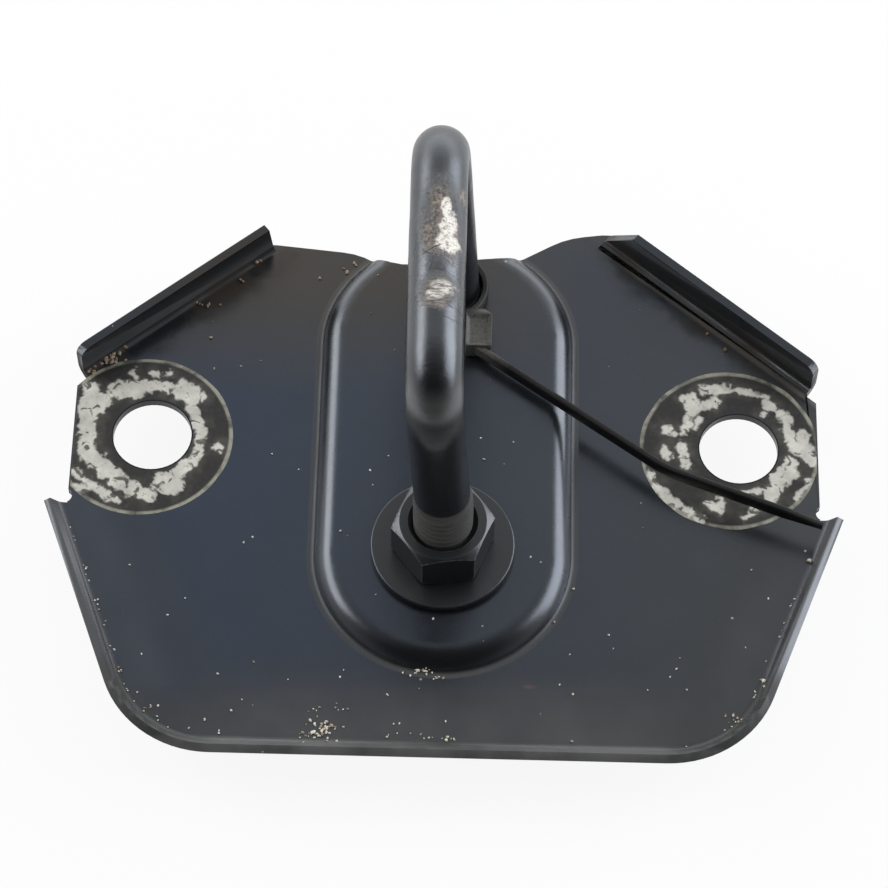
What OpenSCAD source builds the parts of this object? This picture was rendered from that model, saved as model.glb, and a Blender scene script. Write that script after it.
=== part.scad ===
// Hood latch striker: a bent round-bar loop on a pressed steel plate, with a cable tie on its rear leg.
// Origin midway between the two bolt holes, on the mounting face under the plate.
// X runs from hole to hole, Y runs back, Z runs up out of the plate.

/* [Pressed plate] */
// Thickness of the sheet
sheet_t = 1.5; // [1.2:0.1:1.8]
// Distance between the two bolt holes
hole_spacing = 100; // [96:1:104]
// Diameter of the bolt holes
hole_d = 13.4; // [11:0.1:14]
// Width over the two cut side edges
plate_w = 127; // [124:1:134]
// Distance from the hole line to the start of the front lip
front_reach = 55.9; // [54:0.1:62]
// Distance from the hole line back to the left end of the rear edge
back_left = 39; // [38.4:0.1:39.4]
// Distance from the hole line back to the right end of the rear edge
back_right = 42.7; // [42:0.1:43.2]
// Distance from the middle to the outer left end of the dip in the rear edge
dip_left = 15.8; // [15:0.1:17]
// Distance from the middle to the outer right end of the dip
dip_right = 20.5; // [20:0.1:21.5]
// Fall of the rear edge from its left end to the dip
dip_left_fall = 1.5; // [1:0.1:2]
// Fall of the rear edge from its right end to the dip
dip_right_fall = 0.9; // [0.5:0.1:1.5]
// Distance from the middle to the left end of the dip's floor
floor_left = 9.5; // [9:0.1:10.5]
// Distance from the middle to the right end of the dip's floor
floor_right = 10.3; // [9.5:0.1:11]
// Sheet left from the rear leg's axis back to the left end of the dip's floor
floor_left_land = 5.4; // [5.2:0.1:6.5]
// Sheet left from the rear leg's axis back to the right end of the dip's floor
floor_right_land = 7.7; // [7:0.1:8]
// Length that each corner of the dip is eased over
dip_ease = 3; // [2:0.1:3]
// Radius of the relief notches at the ends of the turned edges
notch_r = 1.4; // [1:0.1:1.6]

/* [Front lip] */
// Slant of the side lips from the plate's depth
lip_slant = 20.6097; // [19.5:0.0001:21.5]
// Radius of the front corners, up to the start of the lip
corner_r = 15.8; // [12:0.1:19]
// Distance from the plate's side edge in to a front corner's centre
corner_inset = 26.4; // [25.4:0.1:27.4]
// Angle that the lip is turned up by
lip_bend = 45; // [35:1:55]
// Inside radius of the lip's bend
lip_bend_r = 1.5; // [1:0.1:2]
// Straight width of the lip past its bend
lip_straight = 1.5; // [1:0.1:2.5]
// Distance from the hole line to the cut ends of the lip
lip_end = 13.5; // [13.2:0.1:14.2]

/* [Rear flanges] */
// Distance from the hole line to where a flange's bend meets the side edge
flange_start = 10; // [9:0.1:12]
// Slant of the flanges from the plate's width
flange_slant = 39.7; // [38:0.1:41]
// Height of the flanges over the mounting face
flange_h = 8; // [6:0.1:11]
// Inside radius of the flanges' bend
flange_bend_r = 1; // [0.8:0.1:1.5]
// Gap along the bend from the side edge to a flange's front end
flange_setback = 2; // [1.8:0.1:3]
// Length of the left flange at its foot
flange_left_len = 41; // [36:0.1:42]
// Length of the right flange at its foot
flange_right_len = 46; // [40:0.1:47]
// How much shorter the left flange is at its top, at the rear end
flange_left_cut = 0.7; // [0.2:0.1:6]
// How much shorter the right flange is at its top, at the rear end
flange_right_cut = 6; // [0.2:0.1:8]
// Corner radius at a flange's front end
flange_corner_r = 2; // [1:0.1:3]

/* [Boss] */
// Rise of the boss over the plate
boss_h = 3; // [2.9:0.1:3.6]
// Half width of the boss at its foot
boss_r = 22.3; // [20:0.1:24]
// Distance from the hole line to the rear round end's centre
boss_rear = 19; // [14:0.5:24]
// Slope of the boss wall
boss_slope = 60; // [56:1:60]
// Radius along the top edge of the boss
boss_top_r = 4.5; // [4.2:0.1:4.6]
// Radius along the foot of the boss
boss_foot_r = 1; // [0.8:0.1:1.1]

/* [Striker loop] */
// Diameter of the bar
bar_d = 9.2; // [8:0.1:9.4]
// Distance from the hole line forward to the front leg
leg_front = 22; // [20:0.1:24]
// Distance between the two legs
leg_spacing = 50; // [46:0.5:50]
// Height of the bar's axis over the boss
loop_h = 49; // [42:0.5:56]
// Radius of the two bends, along the bar's axis
bend_r = 9; // [7:0.1:12]
// Lean of the loop to the left
loop_lean = 3; // [0:0.1:3]
// Height over the boss at which the lean starts
lean_start = 13.5; // [12:0.1:16]
// Crest diameter of the thread on the front leg
thread_d = 9.9; // [9.8:0.05:10.2]
// Height over the boss at which the thread ends
thread_top = 18.8; // [15:0.1:19]
// Thread left showing under the lower nut
thread_below = 2.4; // [1:0.1:4]
// Clearance of the front leg in the boss
leg_clear = 0.55; // [0.3:0.05:0.8]
// Diameter of the shoulder on the rear leg
shoulder_d = 11; // [10.8:0.1:12]
// Thickness of the shoulder on the rear leg
shoulder_t = 2; // [1.5:0.1:3]
// Diameter of the rear leg's tenon
tenon_d = 7.4; // [6:0.1:8]
// Clearance of the tenon in the boss
tenon_clear = 0.1; // [0.05:0.05:0.3]
// Diameter of the riveted head on the tenon
rivet_d = 12.5; // [10:0.1:14]
// Thickness of the riveted head
rivet_t = 2; // [1.5:0.1:2.6]

/* [Nuts and washers] */
// Width across flats of the nuts
nut_af = 15; // [14:0.1:17]
// Height of the nuts
nut_h = 8; // [6:0.1:9]
// Turn of the nuts on the leg
nut_turn = 8; // [0:1:59]
// Height of the chamfer at a nut's corners
nut_chamfer = 0.9; // [0.5:0.05:1.2]
// Clearance of the nuts on the thread
nut_clear = 0.1; // [0.05:0.05:0.2]
// Widening of a nut's bore at its two mouths
nut_mouth = 0.75; // [0.4:0.05:1]
// Diameter of the washers
washer_d = 24; // [20:0.5:28]
// Thickness of the washers
washer_t = 1.6; // [1.2:0.1:2.5]
// Clearance of the washers on the thread
washer_clear = 0.3; // [0.2:0.05:0.6]

/* [Cable tie] */
// Width of the strap
strap_w = 2.5; // [2.2:0.1:3]
// Thickness of the strap
strap_t = 1.1; // [0.9:0.05:1.3]
// Gap between the strap's loop and the leg
strap_gap = 1.1; // [1.05:0.05:1.3]
// Height of the loop's centre over the boss
strap_loop_h = 1.5; // [1.4:0.1:2]
// Height of the tail's centre line over the boss
strap_tail_h = 2.2; // [2.1:0.1:2.5]
// Size of the head along X
head_w = 4.5; // [4:0.1:5.5]
// Size of the head along Y
head_l = 6.4; // [5.5:0.1:7.5]
// Size of the head along Z
head_h = 4; // [3.5:0.1:4.5]
// Sideways place of the head's middle
head_x = 5.25; // [5:0.05:5.6]
// Distance from the rear leg forward to the head's middle
head_fwd = 9.7; // [9.5:0.1:10]
// Heading of the tail where it leaves the head
tail_heading = -35.5; // [-40:0.5:-30]
// Length of the tail up to its bend
tail_first = 38; // [30:0.5:40]
// Angle of the bend in the tail
tail_turn = 14.7; // [6:0.1:18]
// Radius of the bend in the tail
tail_bend_r = 20; // [15:1:30]
// Length of the tail past its bend
tail_last = 25.5; // [20:0.5:26]
// Length of the taper at the tail's tip
tip_l = 7; // [4:0.5:10]
// Width of the strap at the tip
tip_w = 1; // [0.6:0.1:1.6]

/* [Hidden] */
$fn = 96;

// Depth that a cut runs past the face it opens
over = 1;
// Depth that a turned edge's section runs into the flat sheet
lap = 1;
// Steps in each drawn bend
steps = 6;
// Angle at which the boss wall runs out into the plate
runout = 8;
// Length of that runout
runout_l = 0.6;

side_x = plate_w / 2;
corner_x = side_x - corner_inset;
leg_rear = leg_spacing - leg_front;
boss_top = sheet_t + boss_h;
boss_under = boss_top - sheet_t;
bar_z = boss_top + loop_h;
lower_washer_z = boss_under - washer_t;
lower_nut_z = lower_washer_z - nut_h;
upper_nut_z = boss_top + washer_t;

// Points of an arc, in equal steps
function arc(centre, radius, from, to, count = steps) =
    [for (i = [0:count]) centre + radius * heading(from + (to - from) * i / count)];
function heading(angle) = [cos(angle), sin(angle)];
function backwards(points) = [for (i = [len(points) - 1:-1:0]) points[i]];
function last(points) = points[len(points) - 1];
function shifted(points, by) = [for (p = points) p + by];
// Whole micrometres, so that pieces drawn from one section meet exactly
function snapped(points) = [for (p = points) [round(p.x * 1000), round(p.y * 1000)] / 1000];
function mirrored(points) = backwards([for (p = points) [-p.x, p.y]]);

// Section of a turned-up sheet edge: outward from where its bend starts, and up
function turned_face(radius, centre, bend, straight) =
    let (curve = arc(centre, radius, -90, bend - 90))
    concat(curve, [last(curve) + straight * heading(bend)]);
function turned_edge(bend, bend_r, straight) =
    let (centre = [0, sheet_t + bend_r])
    concat([[-lap, sheet_t]],
           turned_face(bend_r, centre, bend, straight),
           backwards(turned_face(bend_r + sheet_t, centre, bend, straight)),
           [[-lap, 0]]);
lip_section = snapped(turned_edge(lip_bend, lip_bend_r, lip_straight));
flange_section = turned_edge(90, flange_bend_r, flange_h - sheet_t - flange_bend_r);

// Section of the boss wall: outward from the boss's middle, and up
wall_curl = (boss_top_r + boss_foot_r) * (1 - cos(boss_slope));
wall_straight = (boss_h - wall_curl) / sin(boss_slope);
wall_run = (boss_top_r + boss_foot_r) * sin(boss_slope) + wall_straight * cos(boss_slope);
top_centre = [boss_r - wall_run, boss_top - boss_top_r];
foot_centre = [boss_r, sheet_t + boss_foot_r];
function wall_face(top_r, foot_r) =
    let (curve = concat(arc(top_centre, top_r, 90, 90 - boss_slope),
                        arc(foot_centre, foot_r, 270 - boss_slope, 270 - runout)))
    concat(curve, [last(curve) + runout_l * heading(-runout)]);
function under_wall(face, floor_z) =
    concat([[0, floor_z], [0, face[0].y]], face, [[last(face).x, floor_z]]);
boss_outside = under_wall(wall_face(boss_top_r, boss_foot_r), sheet_t / 2);
boss_inside = under_wall(wall_face(boss_top_r - sheet_t, boss_foot_r + sheet_t), -over);

// Front corner's centre, and the lines of the flat sheet's slanted edges, under the turned edges' laps
corner = [corner_x, corner_r - front_reach];
lip_line = corner * heading(-lip_slant) + corner_r - lap / 2;
flange_line = [side_x, flange_start] * heading(90 - flange_slant) - lap / 2;
function lip_y(x) = (x * cos(lip_slant) - lip_line) / sin(lip_slant);
function flange_y(x) = (flange_line - x * sin(flange_slant)) / cos(flange_slant);

// Where a flange's foot ends along its bend, and how far the bend stands out there
flange_out = [sin(flange_slant), cos(flange_slant)];
function flange_end(length) =
    let (along = flange_setback + length - lap / 5)
    [side_x - along * cos(flange_slant), flange_start + along * sin(flange_slant)];

// The rear edge from right to left, with its corners eased
function eased(a, b, c) =
    let (from = b + dip_ease * (a - b) / norm(a - b), to = b + dip_ease * (c - b) / norm(c - b))
    [for (i = [0:3]) let (t = i / 3) (1 - t) * (1 - t) * from + 2 * t * (1 - t) * b + t * t * to];
rear_ends = [
    [side_x, back_right],
    [flange_end(flange_right_len).x, back_right],
    [dip_right, back_right - dip_right_fall],
    [floor_right, leg_rear + floor_right_land],
    [-floor_left, leg_rear + floor_left_land],
    [-dip_left, back_left - dip_left_fall],
    [-flange_end(flange_left_len).x, back_left],
    [-side_x, back_left]
];
rear_edge = concat([rear_ends[0], rear_ends[1]],
                   [for (k = [2:5]) each eased(rear_ends[k - 1], rear_ends[k], rear_ends[k + 1])],
                   [rear_ends[6], rear_ends[7]]);

// A sheet edge that runs along -Y from the origin and faces +X
module edge_strip(section, length) {
    rotate([90, 0, 0]) linear_extrude(length) polygon(section);
}

// Right half of the flat sheet, from the middle of the front edge to the middle of the rear edge
function half_sheet(back, flange_len) = let (end = flange_end(flange_len), out = (flange_bend_r + sheet_t) * flange_out) [
    [0, lap / 2 - front_reach],
    [corner_x, lap / 2 - front_reach],
    corner + (corner_r - lap / 2) * heading(-lip_slant),
    [side_x, lip_y(side_x)],
    [side_x, flange_y(side_x)],
    end - lap / 2 * flange_out,
    end + out,
    [end.x + out.x, max(end.y + out.y, back) + over],
    [0, back + over]
];

module flat_sheet() {
    linear_extrude(sheet_t) {
        polygon(half_sheet(back_right, flange_right_len));
        polygon(mirrored(half_sheet(back_left, flange_left_len)));
    }
}

module side_lip() {
    pie = concat([[0, 0], [0, sheet_t]], shifted(lip_section, [corner_r, 0]));
    difference() {
        translate(corner) rotate(-lip_slant) translate([corner_r, side_x, 0]) edge_strip(lip_section, side_x);
        translate([corner_x, -lip_end, -over]) cube([plate_w, plate_w, flange_h]);
    }
    difference() {
        translate(corner) rotate_extrude(angle = 90, start = -90) polygon(pie);
        translate(corner) rotate(-lip_slant) translate([-side_x, 0, -over]) cube([plate_w, plate_w, flange_h]);
    }
}

module front_lip() {
    translate([corner_x, -front_reach, 0]) rotate(-90) edge_strip(lip_section, 2 * corner_x);
}

module rear_flange(length, cut) {
    side_view = concat([[0, 0], [0, sheet_t + lap / 5], [-cut, flange_h]],
                       arc([flange_corner_r - length, flange_h - flange_corner_r], flange_corner_r, 90, 180),
                       [[-length, 0]]);
    far_end = flange_setback + length;
    translate([side_x - far_end * cos(flange_slant), flange_start + far_end * sin(flange_slant), 0])
        rotate(90 - flange_slant) intersection() {
            edge_strip(flange_section, length);
            translate([-lap, 0, 0]) rotate([90, 0, 90]) linear_extrude(flange_h) polygon(side_view);
        }
}

// The boss's long round-ended form, from its section
module boss_form(section) {
    length = boss_rear + leg_front;
    translate([0, -leg_front, 0]) rotate_extrude(angle = 180, start = 180) polygon(section);
    translate([0, boss_rear, 0]) rotate_extrude(angle = 180) polygon(section);
    translate([0, boss_rear, 0]) rotate([90, 0, 0]) linear_extrude(length) {
        polygon(section);
        polygon(mirrored(section));
    }
}

module through_hole(place, d) {
    translate([place.x, place.y, -over]) cylinder(d = d, h = boss_top + 2 * over);
}

module rear_cut() {
    translate([0, 0, -over]) linear_extrude(boss_top + 2 * over)
        polygon(concat(rear_edge, [[-side_x, plate_w], [side_x, plate_w]]));
}

module base_plate() {
    color("#2b2f35") difference() {
        union() {
            difference() {
                union() {
                    flat_sheet();
                    boss_form(boss_outside);
                }
                rear_cut();
            }
            front_lip();
            side_lip();
            mirror([1, 0, 0]) side_lip();
            rear_flange(flange_right_len, flange_right_cut);
            mirror([1, 0, 0]) rear_flange(flange_left_len, flange_left_cut);
        }
        boss_form(boss_inside);
        for (side = [-1, 1]) {
            through_hole([side * hole_spacing / 2, 0], hole_d);
            through_hole([side * (side_x + notch_r / 2), notch_r - lip_end], 2 * notch_r);
            through_hole([side * (side_x + notch_r / 2), flange_start + notch_r / 2], 2 * notch_r);
        }
        through_hole([0, -leg_front], thread_d + 2 * leg_clear);
        through_hole([0, leg_rear], tenon_d + 2 * tenon_clear);
    }
}

// A quarter bend from a leg up into the bar, in the plane X = 0
module quarter_bend() {
    rotate([90, 0, 0]) rotate_extrude(angle = 90) translate([bend_r, 0]) circle(d = bar_d);
}

module leg(y, from) {
    translate([0, y, from]) cylinder(d = bar_d, h = bar_z - bend_r - from);
}

module bent_bar() {
    leg(-leg_front, boss_top + lean_start);
    leg(leg_rear, boss_top + shoulder_t / 2);
    translate([0, bend_r - leg_front, bar_z - bend_r]) rotate(-90) quarter_bend();
    translate([0, leg_rear - bend_r, bar_z - bend_r]) rotate(90) quarter_bend();
    translate([0, bend_r - leg_front, bar_z]) rotate([-90, 0, 0])
        cylinder(d = bar_d, h = leg_spacing - 2 * bend_r);
}

module striker_loop() {
    thread_end = lower_nut_z - thread_below;
    lean_z = boss_top + lean_start;
    color("#34373b") {
        translate([0, 0, lean_z]) rotate([0, -loop_lean, 0]) translate([0, 0, -lean_z]) bent_bar();
        translate([0, -leg_front, thread_end]) cylinder(d = thread_d, h = boss_top + thread_top - thread_end);
        translate([0, leg_rear, boss_top]) cylinder(d = shoulder_d, h = shoulder_t);
        translate([0, leg_rear, boss_under - rivet_t / 2]) cylinder(d = tenon_d, h = sheet_t + rivet_t);
        translate([0, leg_rear, boss_under - rivet_t]) cylinder(d = rivet_d, h = rivet_t);
    }
}

module washer(z) {
    translate([0, -leg_front, z]) difference() {
        cylinder(d = washer_d, h = washer_t);
        translate([0, 0, -over]) cylinder(d = thread_d + 2 * washer_clear, h = washer_t + 2 * over);
    }
}

module upper_washer() {
    color("#3a3d40") washer(boss_top);
}

module lower_washer() {
    color("#3a3d40") washer(lower_washer_z);
}

module hex_nut(z) {
    corner = nut_af / 2 / cos(30);
    face = nut_af / 2 - nut_chamfer / 3;
    bore = thread_d / 2 + nut_clear;
    blank = [[0, 0], [face, 0], [corner, nut_chamfer], [corner, nut_h - nut_chamfer], [face, nut_h], [0, nut_h]];
    mouth = [[0, -nut_mouth], [bore + 2 * nut_mouth, -nut_mouth], [bore, nut_mouth], [0, nut_mouth]];
    translate([0, -leg_front, z]) rotate(nut_turn) difference() {
        intersection() {
            cylinder(r = corner, h = nut_h, $fn = 6);
            rotate_extrude() polygon(blank);
        }
        translate([0, 0, -over]) cylinder(r = bore, h = nut_h + 2 * over);
        rotate_extrude() polygon(mouth);
        translate([0, 0, nut_h]) mirror([0, 0, 1]) rotate_extrude() polygon(mouth);
    }
}

module upper_nut() {
    color("#33363a") hex_nut(upper_nut_z);
}

module lower_nut() {
    color("#33363a") hex_nut(lower_nut_z);
}

// Outline of the tail seen from above, from the head to the tip
tail_from = [head_x - head_w / 4, leg_rear - head_fwd - head_l / 3];
tail_heading_end = tail_heading + tail_turn;
tail_bend = tail_from + tail_first * heading(tail_heading) + tail_bend_r * heading(tail_heading + 90);
tail_tip = tail_bend + tail_bend_r * heading(tail_heading_end - 90) + tail_last * heading(tail_heading_end);
function tail_side(offset) = concat(
    [tail_from + offset * heading(tail_heading - 90)],
    arc(tail_bend, tail_bend_r + offset, tail_heading - 90, tail_heading_end - 90),
    [tail_tip + offset * heading(tail_heading_end - 90)]);

module tail() {
    taper = [[-tip_l, strap_w / 2], [over, tip_w / 2 - over * (strap_w - tip_w) / 2 / tip_l], [over, strap_w]];
    difference() {
        translate([0, 0, -strap_w / 2]) linear_extrude(strap_w)
            polygon(concat(tail_side(strap_t / 2), backwards(tail_side(-strap_t / 2))));
        for (side = [0, 1]) translate(tail_tip) rotate(tail_heading_end) mirror([0, 0, side])
            rotate([90, 0, 0]) translate([0, 0, -strap_w]) linear_extrude(2 * strap_w) polygon(taper);
    }
}

module strap_loop() {
    rotate_extrude() translate([bar_d / 2 + strap_gap, -strap_w / 2]) square([strap_t, strap_w]);
}

module cable_tie() {
    head_y = leg_rear - head_fwd;
    color("#1b1c1e") {
        translate([0, leg_rear, boss_top + strap_loop_h]) strap_loop();
        translate([head_x - head_w / 2, head_y - head_l / 2, boss_top + strap_tail_h - head_h / 2])
            cube([head_w, head_l, head_h]);
        translate([head_x - head_w / 2, head_y, boss_top + strap_tail_h - strap_w / 2])
            cube([head_w / 3, head_fwd - bar_d / 2 - strap_gap + strap_t / 2, strap_w]);
        translate([0, 0, boss_top + strap_tail_h]) tail();
    }
}

base_plate();
striker_loop();
upper_washer();
upper_nut();
lower_washer();
lower_nut();
cable_tie();
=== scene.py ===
# Hood latch striker: looks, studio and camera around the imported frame. Sizes are in mm unless a line says otherwise.
import math
import random
import bpy
import bmesh
from mathutils import Matrix, Vector, noise


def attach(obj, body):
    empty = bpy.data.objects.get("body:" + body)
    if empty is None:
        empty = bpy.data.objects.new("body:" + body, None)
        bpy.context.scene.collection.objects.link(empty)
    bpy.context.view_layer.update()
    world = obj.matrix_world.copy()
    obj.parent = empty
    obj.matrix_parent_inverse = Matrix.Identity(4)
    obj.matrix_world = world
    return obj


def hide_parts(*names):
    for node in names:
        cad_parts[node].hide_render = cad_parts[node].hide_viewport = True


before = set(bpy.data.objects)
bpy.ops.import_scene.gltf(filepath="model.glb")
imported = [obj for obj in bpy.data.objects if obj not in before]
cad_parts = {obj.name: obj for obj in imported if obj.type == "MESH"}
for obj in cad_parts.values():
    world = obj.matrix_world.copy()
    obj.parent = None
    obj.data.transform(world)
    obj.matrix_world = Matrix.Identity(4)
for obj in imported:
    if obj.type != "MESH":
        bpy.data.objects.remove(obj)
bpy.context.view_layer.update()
scene = bpy.context.scene
mm = 0.001
print("frame:", ", ".join(sorted(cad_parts)))


def toLinear(hexCode):
    parts = [int(hexCode[i:i + 2], 16) / 255 for i in (1, 3, 5)]
    return tuple(c / 12.92 if c <= 0.04045 else ((c + 0.055) / 1.055) ** 2.4 for c in parts) + (1.0,)


# one node with its settings and links; gives back the wanted output
def addNode(tree, kind, links=None, out=0, **settings):
    node = tree.nodes.new("ShaderNode" + kind)
    for key, value in settings.items():
        setattr(node, key, value)
    for key, value in (links or {}).items():
        if isinstance(value, bpy.types.NodeSocket):
            tree.links.new(value, node.inputs[key])
        else:
            node.inputs[key].default_value = value
    return node.outputs[out] if node.outputs else node


def newMaterial(name):
    material = bpy.data.materials.new(name)
    material.use_nodes = True
    material.node_tree.nodes.clear()
    return material, material.node_tree


# camera, fitted to the bolt holes, boss, washer and loop in the photograph
view = {
    "target": (-0.184, -6.386, 12.0),
    "distance": 567.484,
    "elevation": 60.458,
    "azimuth": -0.38,
    "roll": 1.062,
    "focalPixels": 3400,
    "imagePixels": 888,
}


def makeCamera():
    az, el, roll = (math.radians(view[k]) for k in ("azimuth", "elevation", "roll"))
    forward = Vector((math.sin(az) * math.cos(el), math.cos(az) * math.cos(el), -math.sin(el)))
    right = Vector((math.cos(az), -math.sin(az), 0))
    up = right.cross(forward)
    rollRight = right * math.cos(roll) + up * math.sin(roll)
    rollUp = up * math.cos(roll) - right * math.sin(roll)
    place = (Vector(view["target"]) - forward * view["distance"]) * mm
    lens = bpy.data.cameras.new("photoLens")
    lens.sensor_width = 36
    lens.lens = view["focalPixels"] / view["imagePixels"] * lens.sensor_width
    lens.clip_start = 0.01
    camera = bpy.data.objects.new("photoCamera", lens)
    scene.collection.objects.link(camera)
    camera.matrix_world = Matrix([[rollRight[i], rollUp[i], -forward[i], place[i]] for i in range(3)] + [[0, 0, 0, 1]])
    scene.camera = camera


makeCamera()
print("camera: lens", round(scene.camera.data.lens, 1), "mm")

# studio: white surround with a dark opening on the lens side, two soft boxes high at the sides and a low one behind
studio = {
    "floorZ": -9.3,
    "floorHex": "#FAFAF9",
    "floorGlow": 0.9,  # share of the floor that shows plain white to the lens, the rest takes the shadow
    "fill": 0.36,  # surround's strength on everything but the lens and reflections
    "opening": (0, -0.766, 0.643),  # middle of the dark opening, which the coat's reflection shows
    "openingFrom": -0.15,  # cosine from its middle at which the surround starts to darken
    "openingTo": 0.85,
    "openingTone": 0.03,
    "boxes": [
        # name, place, size across, size in depth, watts, colour
        ("leftBox", (-591, 204, 445), 340, 680, 2.9, "#FFFFFF"),
        ("rightBox", (641, 204, 370), 540, 680, 4.7, "#F6F9FF"),
        ("rearBox", (0, 870, 233), 1500, 420, 2.6, "#FFFFFF"),
    ],
}


def seenWhite(tree):
    path = tree.nodes.new("ShaderNodeLightPath")
    seen = addNode(tree, "Math", {0: path.outputs["Is Camera Ray"], 1: path.outputs["Is Glossy Ray"]}, operation="MAXIMUM")
    return addNode(tree, "Math", {0: seen, 1: path.outputs["Is Transmission Ray"]}, operation="MAXIMUM")


def makeStudio():
    world = bpy.data.worlds.new("whiteSurround")
    scene.world = world
    world.use_nodes = True
    tree = world.node_tree
    tree.nodes.clear()
    plain = addNode(tree, "Background", {"Color": (1, 1, 1, 1), "Strength": studio["fill"]})
    facing = addNode(tree, "VectorMath", {0: addNode(tree, "TexCoord", out="Generated"), 1: studio["opening"]},
                     operation="DOT_PRODUCT", out="Value")
    glossy = tree.nodes.new("ShaderNodeLightPath").outputs["Is Glossy Ray"]
    dark = addNode(tree, "MapRange", {0: facing, 1: studio["openingFrom"], 2: studio["openingTo"], 3: 0, 4: 1 - studio["openingTone"]})
    dark = addNode(tree, "Math", {0: dark, 1: glossy}, operation="MULTIPLY")
    white = addNode(tree, "Background", {
        "Color": (1, 1, 1, 1), "Strength": addNode(tree, "Math", {0: 1.0, 1: dark}, operation="SUBTRACT")})
    addNode(tree, "OutputWorld", {"Surface": addNode(tree, "MixShader", {0: seenWhite(tree), 1: plain, 2: white})})

    material, tree = newMaterial("paleFloorPaint")  # matt pale paint: soft shadow, no gloss
    paint = addNode(tree, "BsdfDiffuse", {"Color": toLinear(studio["floorHex"])})
    glow = addNode(tree, "Emission", {"Color": (1, 1, 1, 1), "Strength": 1.0})
    share = addNode(tree, "Math", {0: seenWhite(tree), 1: studio["floorGlow"]}, operation="MULTIPLY")
    addNode(tree, "OutputMaterial", {"Surface": addNode(tree, "MixShader", {0: share, 1: paint, 2: glow})})
    half = 3.0  # metres
    mesh = bpy.data.meshes.new("floor")
    mesh.from_pydata([(-half, -half, 0), (half, -half, 0), (half, half, 0), (-half, half, 0)], [], [(0, 1, 2, 3)])
    mesh.materials.append(material)
    floor = bpy.data.objects.new("floor", mesh)
    floor.location.z = studio["floorZ"] * mm
    scene.collection.objects.link(floor)

    for name, place, sizeX, sizeY, watts, hexCode in studio["boxes"]:
        light = bpy.data.lights.new(name, "AREA")
        light.shape = "RECTANGLE"
        light.size, light.size_y = sizeX * mm, sizeY * mm
        light.energy = watts
        light.color = toLinear(hexCode)[:3]
        box = bpy.data.objects.new(name, light)
        box.location = Vector(place) * mm
        back = box.location.normalized()
        depth = (Vector((0, 1, 0)) - back * back.y).normalized()
        across = depth.cross(back)
        box.rotation_euler = Matrix((across, depth, back)).transposed().to_euler()
        scene.collection.objects.link(box)
    scene.view_settings.view_transform = "Standard"


makeStudio()
print("studio:", len(studio["boxes"]), "soft boxes")

# pressed plate: electro-dip coat, a thin even black epoxy baked on pressed steel.
# The eye gets a smooth satin black with a cool sheen, whose tint is painted into the coat's reflection, and a film of
# dust where the turned edges hold it.
dipCoat = {
    "hex": "#111315",
    "sheenHex": "#DCE6F2",  # painted cool tint of the coat's reflection, standing in for a bluish light
    "leftSheenHex": "#C4D8FC",  # painted: the reflection bluer towards the left side, as under a bluer light
    "roughness": 0.26,
    "peelSize": 2.2,  # orange peel of the baked coat; drawn coarser than the real 0.8 so that it shows
    "rearSheenHex": "#E9E1D8",  # browner at the rear left, where soil has dried on
    "slopeSheenHex": "#D9E0EB",  # painted: a plainer reflection on the slopes, which whitens the highlights there
    "dustHex": "#565655",
    "dustSheenHex": "#D6D8DA",  # the dust takes the blue out of the sheen
    # soil in the creases by the rear flanges, which also stands as painted shade there
    "creaseSoilAndShadeHex": "#3B3229",
    "paleDustAndHighlightHex": "#6E6A61",  # pale dust line round the boss, and at the foot of the right flange dust with a painted highlight on the bend
    "linePlace": 47.5,
    "holeX": 50,
    "cornerX": 37.1,  # middle of the front corners
    "cornerY": -40.1,
    "footReach": 22.15,  # foot of the boss, out from its middle line; dust lies in it
    "speckSize": 3.2,  # spacing of the fine dust specks
    "speckHex": "#A9A59B",
    "rustPlace": (14.8, -45.8),
    "rustHex": "#5A3A33",
    "edgeWidth": 0.22,  # broken edges of the cut sheet, which catch the light
    "edgeAngle": 32,
}


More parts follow.
